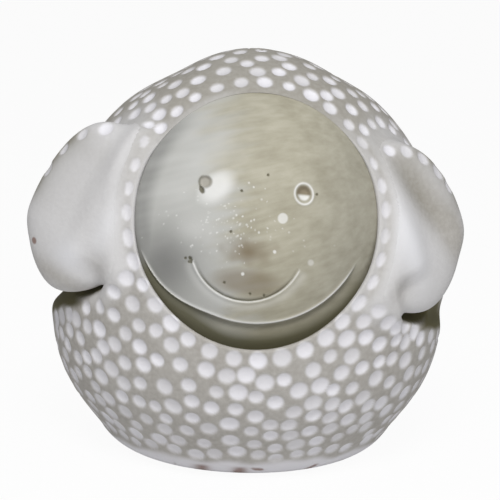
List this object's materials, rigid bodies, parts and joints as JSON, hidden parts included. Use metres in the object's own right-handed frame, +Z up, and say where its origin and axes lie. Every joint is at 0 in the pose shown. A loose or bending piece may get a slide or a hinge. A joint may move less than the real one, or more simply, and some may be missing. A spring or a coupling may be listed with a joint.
{
  "type": "sheep figurine",
  "caption": "Free-standing hollow terracotta sheep ornament: round dimpled fleece body with a hood, a smooth smiling face set in it and drooping ears; decorates a shelf or garden.",
  "frame": {"origin": "under the middle of the figurine, on the surface that it stands on", "axes": "+Z up, the face looks along -Y, +X runs to the figurine's left ear"},
  "size_m": [0.1538, 0.135, 0.151],
  "materials": {
    "fleece": "matt limewash, rubbed",
    "face": "matt, burnished clay",
    "ears": "matt limewash, smooth",
    "base": "bare fired clay"
  },
  "bodies": {
    "root": {"front_body_shell": "fleece", "rear_body_shell": "fleece", "base_slab": "base", "face_dome": "face", "left_ear": "ears", "right_ear": "ears"}
  },
  "joints": []
}
